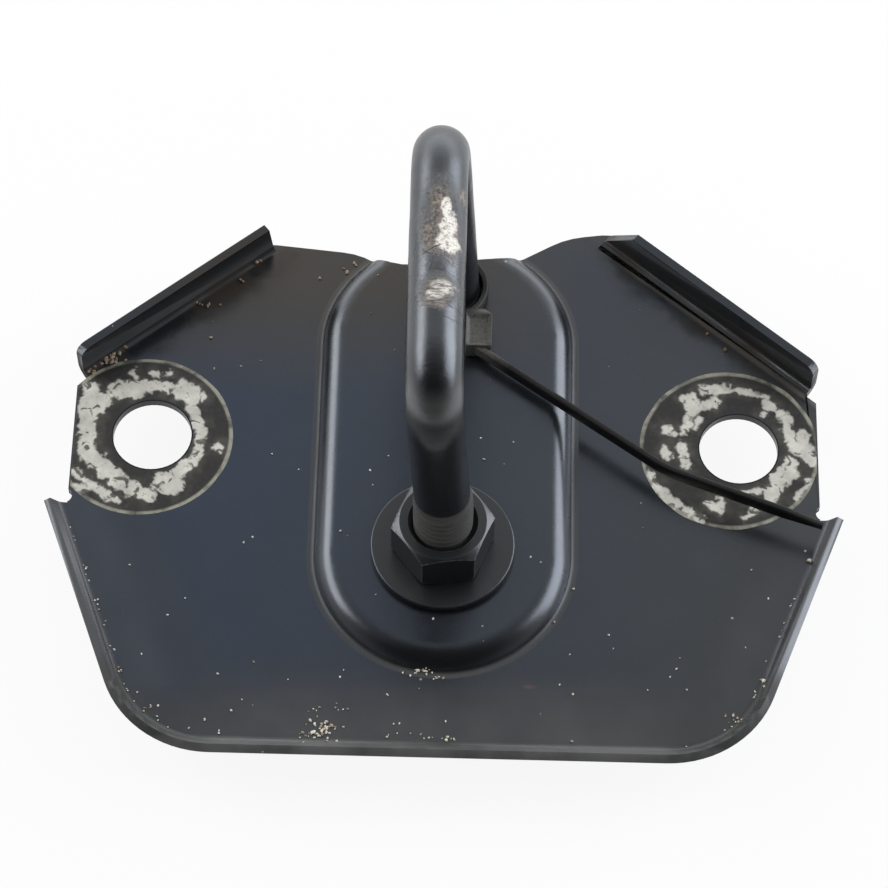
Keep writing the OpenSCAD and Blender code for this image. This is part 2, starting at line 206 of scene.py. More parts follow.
def makeDipCoat():
    c = dipCoat
    material, tree = newMaterial("electroDipCoat")
    inMm = addNode(tree, "VectorMath", {0: addNode(tree, "TexCoord", out="Object"), "Scale": 1 / mm}, operation="SCALE")
    axes = tree.nodes.new("ShaderNodeSeparateXYZ")
    tree.links.new(inMm, axes.inputs[0])
    x, y, z = axes.outputs
    sideX = addNode(tree, "Math", {0: x}, operation="ABSOLUTE")
    coarse = addNode(tree, "TexNoise", {"Vector": inMm, "Scale": 1 / 9, "Detail": 3, "Roughness": 0.6})

    # dust film: along the front, along the slanted sides and inside the rear flanges
    front = addNode(tree, "MapRange", {0: y, 1: -41, 2: -55, 3: 0, 4: 1}, interpolation_type="SMOOTHSTEP")
    inward = addNode(tree, "MapRange", {0: sideX, 1: 22, 2: 42, 3: 1, 4: 0.35})
    front = addNode(tree, "Math", {0: front, 1: inward}, operation="MULTIPLY")
    lean = addNode(tree, "Math", {0: y, 1: -0.352}, operation="MULTIPLY")
    lean = addNode(tree, "Math", {0: sideX, 1: 0.936, 2: lean}, operation="MULTIPLY_ADD")
    sides = addNode(tree, "MapRange", {0: lean, 1: 54, 2: 61, 3: 0, 4: 0.3}, interpolation_type="SMOOTHSTEP")
    rear = addNode(tree, "Math", {0: y, 1: 0.769}, operation="MULTIPLY")
    rear = addNode(tree, "Math", {0: sideX, 1: 0.639, 2: rear}, operation="MULTIPLY_ADD")
    crease = addNode(tree, "MapRange", {0: rear, 1: 42, 2: 47.5, 3: 0, 4: 1}, interpolation_type="SMOOTHSTEP")
    lip = addNode(tree, "MapRange", {0: y, 1: -55.5, 2: -57, 3: 0, 4: 0.95})
    flange = addNode(tree, "MapRange", {0: rear, 1: 48, 2: 48.6, 3: 0, 4: 0.16})
    cutEdge = addNode(tree, "MapRange", {0: z, 1: 7.5, 2: 7.8, 3: 0, 4: 1})
    flange = addNode(tree, "Math", {0: flange, 1: addNode(tree, "Math", {0: 1.0, 1: cutEdge}, operation="SUBTRACT")}, operation="MULTIPLY")
    film = addNode(tree, "Math", {0: front, 1: sides}, operation="MAXIMUM")
    cloud = addNode(tree, "MapRange", {0: coarse, 1: 0.3, 2: 0.7, 3: 0.18, 4: 0.32})
    film = addNode(tree, "Math", {0: film, 1: cloud}, operation="MULTIPLY")
    patchy = addNode(tree, "MapRange", {0: coarse, 1: 0.35, 2: 0.65, 3: 0.65, 4: 1.1})
    lip = addNode(tree, "Math", {0: lip, 1: patchy}, operation="MULTIPLY")
    film = addNode(tree, "Math", {0: film, 1: lip}, operation="MAXIMUM")
    fromCorner = addNode(tree, "CombineXYZ", {
        0: addNode(tree, "Math", {0: sideX, 1: c["cornerX"]}, operation="SUBTRACT"),
        1: addNode(tree, "Math", {0: y, 1: c["cornerY"]}, operation="SUBTRACT")})
    fromCorner = addNode(tree, "VectorMath", {0: fromCorner}, operation="LENGTH", out="Value")
    corner = addNode(tree, "MapRange", {0: fromCorner, 1: 15.6, 2: 16.6, 3: 0, 4: 1})
    cornerFront = addNode(tree, "MapRange", {0: y, 1: -42, 2: -45, 3: 0, 4: 1})
    cornerSide = addNode(tree, "MapRange", {0: sideX, 1: 36, 2: 39, 3: 0, 4: 1})
    corner = addNode(tree, "Math", {0: corner, 1: cornerFront}, operation="MULTIPLY")
    corner = addNode(tree, "Math", {0: corner, 1: cornerSide}, operation="MULTIPLY")
    film = addNode(tree, "Math", {0: addNode(tree, "Math", {0: corner, 1: 0.4}, operation="MULTIPLY"), 1: film}, operation="MAXIMUM")
    film = addNode(tree, "Math", {0: film, 1: flange}, operation="MAXIMUM")
    colour = addNode(tree, "Mix", {0: film, 6: toLinear(c["hex"]), 7: toLinear(c["dustHex"])}, out=2, data_type="RGBA")
    # soil and painted shade in the crease at the foot of the rear flanges: browner, and dulled so that it reads darker
    creaseSoilAndShade = addNode(tree, "MapRange", {0: coarse, 1: 0.42, 2: 0.62, 3: 0, 4: 0.55})
    creaseSoilAndShade = addNode(tree, "Math", {0: creaseSoilAndShade, 1: crease}, operation="MULTIPLY")
    low = addNode(tree, "MapRange", {0: z, 1: 5, 2: 2, 3: 0, 4: 1})
    creaseSoilAndShade = addNode(tree, "Math", {0: creaseSoilAndShade, 1: low}, operation="MULTIPLY")
    colour = addNode(tree, "Mix", {0: creaseSoilAndShade, 6: colour, 7: toLinear(c["creaseSoilAndShadeHex"])}, out=2, data_type="RGBA")
    # pale line at the foot of the right flange: dust, and a painted highlight on the bend
    off = addNode(tree, "Math", {0: rear, 1: c["linePlace"]}, operation="SUBTRACT")
    off = addNode(tree, "Math", {0: off}, operation="ABSOLUTE")
    creaseDustAndHighlight = addNode(tree, "MapRange", {0: off, 1: 0.75, 2: 0.2, 3: 0, 4: 0.5})
    creaseDustAndHighlight = addNode(tree, "Math", {0: creaseDustAndHighlight, 1: low}, operation="MULTIPLY")
    outside = addNode(tree, "MapRange", {0: x, 1: 29, 2: 33, 3: 0, 4: 1})
    creaseDustAndHighlight = addNode(tree, "Math", {0: creaseDustAndHighlight, 1: outside}, operation="MULTIPLY")
    colour = addNode(tree, "Mix", {0: creaseDustAndHighlight, 6: colour, 7: toLinear(c["paleDustAndHighlightHex"])}, out=2, data_type="RGBA")
    along = addNode(tree, "Clamp", {0: y, 1: -22, 2: 19})
    across = addNode(tree, "CombineXYZ", {0: x, 1: addNode(tree, "Math", {0: y, 1: along}, operation="SUBTRACT")})
    across = addNode(tree, "VectorMath", {0: across}, operation="LENGTH", out="Value")
    off = addNode(tree, "Math", {0: across, 1: c["footReach"]}, operation="SUBTRACT")
    off = addNode(tree, "Math", {0: off}, operation="ABSOLUTE")
    foot = addNode(tree, "MapRange", {0: off, 1: 0.7, 2: 0.2, 3: 0, 4: 1})
    foot = addNode(tree, "Math", {0: foot, 1: low}, operation="MULTIPLY")
    colour = addNode(tree, "Mix", {0: addNode(tree, "Math", {0: foot, 1: 0.3}, operation="MULTIPLY"),
                                   6: colour, 7: toLinear(c["paleDustAndHighlightHex"])}, out=2, data_type="RGBA")

    # fine specks of dust, more of them towards the front
    cells = tree.nodes.new("ShaderNodeTexVoronoi")
    cells.inputs["Scale"].default_value = 1 / c["speckSize"]
    tree.links.new(inMm, cells.inputs["Vector"])
    keep = addNode(tree, "MapRange", {0: y, 1: 30, 2: -55, 3: 0.06, 4: 0.3})
    luck = tree.nodes.new("ShaderNodeSeparateColor")
    tree.links.new(cells.outputs["Color"], luck.inputs[0])
    chosen = addNode(tree, "Math", {0: luck.outputs[0], 1: keep}, operation="LESS_THAN")
    reach = addNode(tree, "MapRange", {0: luck.outputs[1], 1: 0, 2: 1, 3: 0.02, 4: 0.075})
    inside = addNode(tree, "Math", {0: cells.outputs["Distance"], 1: reach}, operation="LESS_THAN")
    specks = addNode(tree, "Math", {0: chosen, 1: inside}, operation="MULTIPLY")
    specks = addNode(tree, "Math", {0: specks, 1: 0.75}, operation="MULTIPLY")
    colour = addNode(tree, "Mix", {0: specks, 6: colour, 7: toLinear(c["speckHex"])}, out=2, data_type="RGBA")

    away = addNode(tree, "VectorMath", {0: inMm, 1: c["rustPlace"] + (1.5,)}, operation="SUBTRACT")
    away = addNode(tree, "VectorMath", {0: away, 1: (0.55, 1.6, 1)}, operation="MULTIPLY")
    away = addNode(tree, "VectorMath", {0: away}, operation="LENGTH", out="Value")
    away = addNode(tree, "Math", {0: coarse, 1: 0.8, 2: away}, operation="MULTIPLY_ADD")
    rust = addNode(tree, "MapRange", {0: away, 1: 1.3, 2: 0.6, 3: 0, 4: 0.55})
    colour = addNode(tree, "Mix", {0: rust, 6: colour, 7: toLinear(c["rustHex"])}, out=2, data_type="RGBA")

    rough = addNode(tree, "MapRange", {0: coarse, 1: 0.3, 2: 0.7, 3: c["roughness"] - 0.03, 4: c["roughness"] + 0.05})
    rough = addNode(tree, "Math", {0: film, 1: 0.3, 2: rough}, operation="MULTIPLY_ADD")
    rough = addNode(tree, "Math", {0: creaseSoilAndShade, 1: 0.6, 2: rough}, operation="MULTIPLY_ADD")
    rough = addNode(tree, "Math", {0: foot, 1: 0.4, 2: rough}, operation="MULTIPLY_ADD")
    dulled = addNode(tree, "MapRange", {0: film, 1: 0, 2: 0.3, 3: 0, 4: 1})
    wideFront = addNode(tree, "MapRange", {0: y, 1: -39, 2: -53, 3: 0, 4: 0.75}, interpolation_type="SMOOTHSTEP")
    wideSides = addNode(tree, "MapRange", {0: lean, 1: 44, 2: 58, 3: 0, 4: 0.4}, interpolation_type="SMOOTHSTEP")
    border = addNode(tree, "Math", {0: wideFront, 1: wideSides}, operation="MAXIMUM")
    dulled = addNode(tree, "Math", {0: dulled, 1: border}, operation="MAXIMUM")
    # painted reflection tint: cool, bluer towards the left and plainer on the slopes, as a coloured light would make
    # it; browner at the rear left for dried soil, plainer where dust lies
    sideways = addNode(tree, "MapRange", {0: x, 1: -45, 2: 45, 3: 0, 4: 1})
    rearward = addNode(tree, "MapRange", {0: y, 1: 8, 2: 30, 3: 0, 4: 1})
    leftward = addNode(tree, "MapRange", {0: x, 1: 25, 2: 0, 3: 0, 4: 1})
    rearLeft = addNode(tree, "Math", {0: rearward, 1: leftward}, operation="MULTIPLY")
    sheen = addNode(tree, "Mix", {0: sideways, 6: toLinear(c["leftSheenHex"]), 7: toLinear(c["sheenHex"])}, out=2, data_type="RGBA")
    sheen = addNode(tree, "Mix", {0: rearLeft, 6: sheen, 7: toLinear(c["rearSheenHex"])}, out=2, data_type="RGBA")
    shape = tree.nodes.new("ShaderNodeNewGeometry")
    facing = addNode(tree, "VectorMath", {0: shape.outputs["True Normal"], 1: (0, 0, 1)}, operation="DOT_PRODUCT", out="Value")
    slope = addNode(tree, "MapRange", {0: facing, 1: 0.995, 2: 0.95, 3: 0, 4: 1})
    sheen = addNode(tree, "Mix", {0: slope, 6: sheen, 7: toLinear(c["slopeSheenHex"])}, out=2, data_type="RGBA")
    sheen = addNode(tree, "Mix", {0: dulled, 6: sheen, 7: toLinear(c["dustSheenHex"])}, out=2, data_type="RGBA")
    peel = addNode(tree, "TexNoise", {"Vector": inMm, "Scale": 1 / c["peelSize"], "Detail": 2})
    height = addNode(tree, "Math", {0: peel, 1: 0.02, 2: 0.0}, operation="MULTIPLY_ADD")
    height = addNode(tree, "Math", {0: specks, 1: 0.1, 2: height}, operation="MULTIPLY_ADD")
    # dull where it is dirty: cut edges of the flanges, walls of the holes, and the soil in the crease, which is also
    # painted shade
    holeX = addNode(tree, "Math", {0: sideX, 1: c["holeX"]}, operation="SUBTRACT")
    fromHole = addNode(tree, "VectorMath", {0: addNode(tree, "CombineXYZ", {0: holeX, 1: y})}, operation="LENGTH", out="Value")
    wall = addNode(tree, "MapRange", {0: fromHole, 1: 6.95, 2: 6.85, 3: 0, 4: 0.85})
    dull = addNode(tree, "Math", {0: cutEdge, 1: 0.35}, operation="MULTIPLY")
    dull = addNode(tree, "Math", {0: dull, 1: wall}, operation="MAXIMUM")
    dull = addNode(tree, "Math", {0: dull, 1: creaseSoilAndShade}, operation="MAXIMUM")
    dull = addNode(tree, "Math", {0: corner, 1: 0.6, 2: dull}, operation="MULTIPLY_ADD", use_clamp=True)
    dull = addNode(tree, "Math", {0: foot, 1: 0.3, 2: dull}, operation="MULTIPLY_ADD", use_clamp=True)
    sheen = addNode(tree, "Mix", {0: dull, 6: sheen, 7: (0, 0, 0, 1)}, out=2, data_type="RGBA")
    # flat faces shade flat, so that no corner of the sheet bends the reflection
    isFlat = addNode(tree, "Math", {0: facing, 1: 0.9999}, operation="GREATER_THAN")
    normal = addNode(tree, "Mix", {0: isFlat, 4: shape.outputs["Normal"], 5: shape.outputs["True Normal"]}, out=1, data_type="VECTOR")
    bump = addNode(tree, "Bump", {"Strength": 0.6, "Distance": mm, "Height": height, "Normal": normal})
    shader = addNode(tree, "BsdfPrincipled", {
        "Base Color": colour, "Roughness": rough, "Normal": bump, "IOR": 1.6,
        "Specular IOR Level": 1.0, "Specular Tint": sheen})
    addNode(tree, "OutputMaterial", {"Surface": shader})
    return material


# broken edges and even shading on a CAD node, by modifiers alone
def breakEdges(node, width, angle):
    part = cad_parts[node]
    part.data.polygons.foreach_set("use_smooth", [True] * len(part.data.polygons))
    weld = part.modifiers.new("weld", "WELD")
    weld.merge_threshold = 0.002 * mm
    flats = part.modifiers.new("flats", "DECIMATE")
    flats.decimate_type = "DISSOLVE"
    flats.angle_limit = math.radians(0.5)
    bevel = part.modifiers.new("brokenEdges", "BEVEL")
    bevel.width = width * mm
    bevel.segments = 2
    bevel.limit_method = "ANGLE"
    bevel.angle_limit = math.radians(angle)
    even = part.modifiers.new("evenShading", "WEIGHTED_NORMAL")
    even.mode = "FACE_AREA"
    even.weight = 100
    return part


def dress(part, material):
    part.data.materials.clear()
    part.data.materials.append(material)


def addPiece(name, mesh, material, replaced=()):
    mesh.materials.append(material)
    piece = bpy.data.objects.new(name, mesh)
    scene.collection.objects.link(piece)
    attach(piece, "root")
    for node in replaced:
        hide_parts(node)
    return piece


# rings of points, each as many points as the last, skinned with quads; open ends get a cap
def skin(meshName, tubes):
    verts, faces = [], []
    for rings, closed in tubes:
        start, count = len(verts), len(rings[0])
        for ring in rings:
            verts.extend(tuple(p * mm) for p in ring)
        steps = len(rings) if closed else len(rings) - 1
        for i in range(steps):
            low, high = start + i * count, start + (i + 1) % len(rings) * count
            for k in range(count):
                n = (k + 1) % count
                faces.append((low + k, low + n, high + n, high + k))
        if not closed:
            faces.append(tuple(start + k for k in reversed(range(count))))
            faces.append(tuple(start + (len(rings) - 1) * count + k for k in range(count)))
    mesh = bpy.data.meshes.new(meshName)
    mesh.from_pydata(verts, [], faces)
    mesh.polygons.foreach_set("use_smooth", [True] * len(faces))
    mesh.set_sharp_from_angle(angle=math.radians(40))
    return mesh


dress(breakEdges("base_plate", dipCoat["edgeWidth"], dipCoat["edgeAngle"]), makeDipCoat())
print("plate: dip coat")

# 0 to 1 with an eased start and end
def smooth(t):
    t = min(1, max(0, t))
    return t * t * (3 - 2 * t)


# washer marks: the coat crushed and worn through to pale phosphate under the bolt washers, a film a few hundredths thick.
# The eye gets a neutral dull disc with a pale rim and chalky streaks.
washerMark = {
    "lift": 0.02,
    "holeRadius": 6.95,
    "radius": 15.3,
    "rimFrom": 14.5,
    "sideX": 63.25,
    "discHex": "#21201F",
    "hazeHex": "#55534C",  # coat rubbed thin round the worn streaks
    "rimHex": "#9A998B",
    "wornHex": "#D8D6CC",
    # worn streaks: from x, y to x, y and half width, read off the two marks one by one
    "marks": [
        ("markLeft", (-51.57, -0.27), (-50, 0), [
            (-61.2, 8.5, -61.1, -3, 1.5), (-60.6, -4, -53.2, -10.6, 1.5), (-53, -10.6, -50, -11.6, 1.4),
            (-47.6, -9.2, -45.5, -9.6, 1.7), (-45.2, -7.2, -42.8, -4.6, 1.1), (-42.2, -4, -41.6, 1, 0.9),
            (-42.4, 2, -43.6, 6, 1.1), (-45.2, 8.8, -43.6, 8, 2.0), (-46.6, 9.2, -51.8, 9.9, 1.1),
            (-53.2, 8.8, -56.6, 8.9, 1.7), (-58.7, 7.2, -59.2, 5, 1.1), (-62.6, -7.6, -56, -12.8, 0.7),
            (-62.2, -10.2, -60, -11, 0.5), (-54, 12.3, -53.6, 11.4, 0.6), (-50.4, 12.2, -49.6, 12, 0.6),
            (-47.8, 12.3, -47.6, 12.2, 0.6), (-38.6, -2.1, -38.2, -2.3, 0.8), (-57, -11.6, -55, -13.2, 0.5),
        ]),
        ("markRight", (48.43, -0.27), (50, 0), [
            (41.4, 9.6, 42.6, 7.6, 1.2), (44.4, 8.2, 46, 9, 1.0), (44, 11.4, 47.8, 12.3, 0.8),
            (41.6, 6.2, 40.9, 3, 0.8), (38.8, 2.6, 37.3, 3.9, 0.8), (40.4, 0.2, 41, -3.4, 0.8),
            (37.3, -0.6, 38.2, -2.2, 0.7), (50, 11.6, 55, 10.2, 0.5),
            (55.4, 9, 57.2, 7.2, 1.0), (54.3, 7.1, 54.4, 6.9, 0.6), (58.2, 5.6, 58.6, 2.6, 1.1),
            (59.4, 1, 62.6, -2, 1.1), (58.6, -2.6, 55.4, -9, 1.3), (58.6, -4.4, 56.8, -5.6, 1.5),
            (52, -8.1, 54.4, -7.6, 0.5), (44.6, -10.6, 46.6, -12, 0.8), (46.8, -10, 47, -11.6, 0.8),
            (50.8, -13.2, 52.6, -11.4, 0.7), (36.2, -7.8, 39, -11, 0.9), (39, -11, 43.4, -13.8, 0.8),
            (59.6, -9.4, 61.8, -6.2, 0.5), (60.8, 3.2, 61.8, 0.4, 1.0), (34.9, -4.8, 36.4, -8.4, 0.5),
            (50.6, -8.9, 53.2, -8.4, 0.5), (43.2, 5.6, 42.6, 3.6, 0.5), (46.2, 10.6, 49, 11.8, 0.6),
        ]),
    ],
}


def makeMarkMaterial():
    c = washerMark
    material, tree = newMaterial("wornPhosphate")
    inMm = addNode(tree, "VectorMath", {0: addNode(tree, "TexCoord", out="Object"), "Scale": 1 / mm}, operation="SCALE")
    worn = addNode(tree, "Attribute", out="Fac", attribute_name="worn")
    rim = addNode(tree, "Attribute", out="Fac", attribute_name="rim")
    fine = addNode(tree, "TexNoise", {"Vector": inMm, "Scale": 1 / 0.7, "Detail": 4, "Roughness": 0.65})
    broad = addNode(tree, "TexNoise", {"Vector": inMm, "Scale": 1 / 3.2, "Detail": 3, "Roughness": 0.6})
    tone = addNode(tree, "MapRange", {0: fine, 1: 0.3, 2: 0.7, 3: 0.6, 4: 1.3})
    disc = addNode(tree, "VectorMath", {0: toLinear(c["discHex"])[:3], "Scale": tone}, operation="SCALE")
    haze = addNode(tree, "Attribute", out="Fac", attribute_name="haze")
    patchy = addNode(tree, "MapRange", {0: broad, 1: 0.38, 2: 0.66, 3: 0.0, 4: 0.7})
    haze = addNode(tree, "Math", {0: haze, 1: patchy}, operation="MULTIPLY")
    colour = addNode(tree, "Mix", {0: haze, 6: disc, 7: toLinear(c["hazeHex"])}, out=2, data_type="RGBA")
    broken = addNode(tree, "MapRange", {0: broad, 1: 0.36, 2: 0.58, 3: 0.2, 4: 1})
    rimShare = addNode(tree, "Math", {0: rim, 1: broken}, operation="MULTIPLY")
    colour = addNode(tree, "Mix", {0: rimShare, 6: colour, 7: toLinear(c["rimHex"])}, out=2, data_type="RGBA")
    pits = addNode(tree, "MapRange", {0: fine, 1: 0.27, 2: 0.4, 3: 0.45, 4: 1})
    chips = addNode(tree, "TexNoise", {"Vector": inMm, "Scale": 1 / 1.9, "Detail": 2, "Roughness": 0.5, "Distortion": 0.8})
    chips = addNode(tree, "MapRange", {0: chips, 1: 0.36, 2: 0.43, 3: 0.12, 4: 1})
    wornShare = addNode(tree, "Math", {0: worn, 1: pits}, operation="MULTIPLY")
    wornShare = addNode(tree, "Math", {0: wornShare, 1: chips}, operation="MULTIPLY")
    chalk = addNode(tree, "MapRange", {0: broad, 1: 0.3, 2: 0.7, 3: 0.68, 4: 1.08})
    chalk = addNode(tree, "VectorMath", {0: toLinear(c["wornHex"])[:3], "Scale": chalk}, operation="SCALE")
    colour = addNode(tree, "Mix", {0: wornShare, 6: colour, 7: chalk}, out=2, data_type="RGBA")
    rough = addNode(tree, "MapRange", {0: wornShare, 1: 0, 2: 1, 3: 0.4, 4: 0.7})
    bump = addNode(tree, "Bump", {"Strength": 0.4, "Distance": 0.05 * mm, "Height": fine})
    shader = addNode(tree, "BsdfPrincipled", {"Base Color": colour, "Roughness": rough, "Normal": bump, "IOR": 1.5})
    addNode(tree, "OutputMaterial", {"Surface": shader})
    return material


def streakDistance(x, y, streaks):
    nearest = 99
    for x1, y1, x2, y2, half in streaks:
        dx, dy = x2 - x1, y2 - y1
        t = min(1, max(0, ((x - x1) * dx + (y - y1) * dy) / (dx * dx + dy * dy)))
        nearest = min(nearest, math.hypot(x - x1 - t * dx, y - y1 - t * dy) - half)
    return nearest


def makeMark(name, centre, hole, streaks, material):
    c = washerMark
    turns, rows = 420, 48
    verts, faces, worn, haze, rim = [], [], [], [], []
    top = 1.5 + c["lift"]
    for i in range(rows + 1):
        for k in range(turns):
            a = 2 * math.pi * k / turns
            inner = Vector((hole[0] + c["holeRadius"] * math.cos(a), hole[1] + c["holeRadius"] * math.sin(a)))
            reach = c["radius"] + 0.16 * noise.noise(Vector((math.cos(a) * 4, math.sin(a) * 4, centre[0])))
            outer = Vector((centre[0] + reach * math.cos(a), centre[1] + reach * math.sin(a)))
            p = inner.lerp(outer, i / rows)
            x = max(-c["sideX"], min(c["sideX"], p.x))
            shake = noise.noise_vector(Vector((x * 0.75, p.y * 0.75, 3))) * 0.8
            shake += noise.noise_vector(Vector((x * 2.1, p.y * 2.1, 7))) * 0.35
            gap = streakDistance(x + shake.x, p.y + shake.y, streaks)
            worn.append(smooth(0.5 - gap / 0.5))
            haze.append(smooth(1 - gap / 2.2))
            r = math.hypot(p.x - centre[0], p.y - centre[1])
            rim.append(smooth((r - c["rimFrom"]) / 0.35))
            verts.append((x * mm, p.y * mm, (top - 0.012 * worn[-1]) * mm))
    for i in range(rows):
        for k in range(turns):
            n = (k + 1) % turns
            faces.append((i * turns + k, (i + 1) * turns + k, (i + 1) * turns + n, i * turns + n))
    mesh = bpy.data.meshes.new(name)
    mesh.from_pydata(verts, [], faces)
    for label, values in (("worn", worn), ("haze", haze), ("rim", rim)):
        mesh.attributes.new(label, "FLOAT", "POINT").data.foreach_set("value", values)
    mesh.polygons.foreach_set("use_smooth", [True] * len(faces))
    return addPiece(name, mesh, material)


markMaterial = makeMarkMaterial()
for mark in washerMark["marks"]:
    makeMark(*mark, markMaterial)
print("washer marks:", len(washerMark["marks"]))

# striker loop: drawn round bar, bent cold, rolled thread on the front leg, upset shoulder and riveted foot at the rear
loop = {
    "barRadius": 4.6,
    "frontY": -22,
    "rearY": 28,
    "barZ": 53.5,
    "bendRadius": 9,
    "lean": 3,  # degrees to the left, from leanZ up
    "leanZ": 18,
    "threadFrom": -9,
    "threadTo": 23.3,
    "crest": 4.95,
    "root": 4.45,
    "pitch": 1.5,
    "turns": 72,  # points round the bar
    "waviness": 0.05,  # unevenness of the drawn and bent bar
    "bossTop": 4.5,
    "bossUnder": 3.0,
}


def loopPath():
    c = loop
    tilt = math.radians(c["lean"])
    side = Vector((math.cos(tilt), 0, math.sin(tilt)))

    def leaned(y, z):
        rise = z - c["leanZ"]
        return Vector((-rise * math.sin(tilt), y, c["leanZ"] + rise * math.cos(tilt)))

    path = []
    step = c["pitch"] / 12
    z = c["threadFrom"]
    while z < c["threadTo"] + 1.5:
        share = smooth((z - c["leanZ"]) / 6)
        path.append((leaned(c["frontY"], z) * share + Vector((0, c["frontY"], z)) * (1 - share), side, z))
        z += step
    topZ, r = c["barZ"] - c["bendRadius"], c["bendRadius"]
    for i in range(1, 16):
        path.append((leaned(c["frontY"], z + (topZ - z) * i / 16), side, None))
    for i in range(31):
        a = math.radians(3 * i)
        path.append((leaned(c["frontY"] + r - r * math.cos(a), topZ + r * math.sin(a)), side, None))
    for i in range(1, 32):
        path.append((leaned(c["frontY"] + r + (c["rearY"] - c["frontY"] - 2 * r) * i / 32, c["barZ"]), side, None))
    for i in range(31):
        a = math.radians(90 - 3 * i)
        path.append((leaned(c["rearY"] - r + r * math.cos(a), topZ + r * math.sin(a)), side, None))
    foot = c["bossTop"] + 1
    for i in range(1, 29):
        path.append((leaned(c["rearY"], topZ + (foot - topZ) * i / 28), side, None))
    return path


def loopRings():
    c = loop
    path = loopPath()
    rings = []
    for i, (centre, side, z) in enumerate(path):
        before, after = path[max(i - 1, 0)][0], path[min(i + 1, len(path) - 1)][0]
        ahead = (after - before).normalized()
        across = (side - ahead * side.dot(ahead)).normalized()
        up = ahead.cross(across)
        ring = []
        for k in range(c["turns"]):
            a = 2 * math.pi * k / c["turns"]
            out = across * math.cos(a) + up * math.sin(a)
            radius = c["barRadius"] + c["waviness"] * noise.noise((centre + out * c["barRadius"]) * 0.16)
            if z is not None:
                turn = (z / c["pitch"] - a / (2 * math.pi)) % 1
                ridge = min(1, max(0, (1 - abs(2 * turn - 1) - 0.12) / 0.76))
                cut = c["root"] + (c["crest"] - c["root"]) * ridge
                depth = smooth((c["threadTo"] - z) / 1.6) * smooth((z - c["threadFrom"]) / 1.0 + 0.25)
                plain = c["root"] if z < 0 else c["barRadius"]
                radius = plain + (cut - plain) * depth
            ring.append(centre + out * radius)
        rings.append(ring)
    return rings


def footRings():
    c = loop
    under, top = c["bossUnder"], c["bossTop"]
    outline = [(3.2, under - 2.0), (4.9, under - 1.9), (5.8, under - 1.45), (6.2, under - 0.8), (6.25, under - 0.1),
               (6.15, under), (3.7, under), (3.7, top), (5.35, top), (5.5, top + 0.15), (5.5, top + 1.6),
               (5.35, top + 1.9), (5.05, top + 2.0), (4.4, top + 2.0)]
    return [[Vector((r * math.cos(a), c["rearY"] + r * math.sin(a), z))
             for a in (2 * math.pi * k / c["turns"] for k in range(c["turns"]))] for r, z in outline]


# coated bar: the same dip coat on drawn steel, rubbed through by the latch's hook.
# The eye gets a glossier black, two bright scuffed patches on top, brown rust round them and fine cracks.
barCoat = {
    "hex": "#17191B",
    # painted cool tint of the bar's reflection, standing in for a bluish light
    "sheenHex": "#E0E7F0",
    "roughness": 0.2,
    "topRoughness": 0.31,  # towards the rear of the top
    "legGloss": 0.12,  # the legs are dulled by dirt
    "bendReflectionHex": "#4B4A49",  # painted grey reflection on the front bend
    "threadDustHex": "#5E5D5A",  # dust held in the thread
    "scuffHex": "#45423E",  # coat thinned by rubbing
    "steelHex": "#F6F1E8",
    "dullSteelHex": "#7E7468",
    "rustHex": "#958674",
    "deepRustHex": "#2A2522",
    "crackHex": "#060606",
    "pitSize": 0.9,  # spacing of the pits in the rubbed coat
    "drawLine": 0.35,  # spacing of the draw lines; drawn coarser than the real 0.05 so that they show
    # places on top of the bar: middle x, y, half length x, y
    "scuffs": [(-1.2, 8.4, 3.6, 8.2), (-1.4, -4.8, 3.3, 3.2)],
    "rusts": [(-1.5, 11.0, 1.7, 4.4), (-2.4, 5.6, 2.2, 4.6), (-0.2, 5.2, 2.0, 4.2), (-1.7, -5.2, 3.0, 2.9),
              (1.9, 13.5, 0.9, 1.3)],
    "bares": [(-0.6, 10.0, 0.75, 2.6), (-0.2, 7.2, 1.35, 2.8), (-0.3, 4.1, 1.8, 2.0),
              (-0.8, -4.4, 2.0, 1.3), (-2.0, -5.6, 1.5, 1.1)],
    # cracks in the coat: middle x, y, half length, half width, turn
    "cracks": [(-2.6, 2.7, 1.5, 0.14, 30), (2.5, 11.2, 0.9, 0.16, 97), (1.3, -7.7, 1.3, 0.12, -14), (-3.2, 1.9, 0.8, 0.12, -20),
               (-5.3, 3.8, 2.2, 0.12, 82), (0.7, -9.8, 1.5, 0.1, -10)],
}


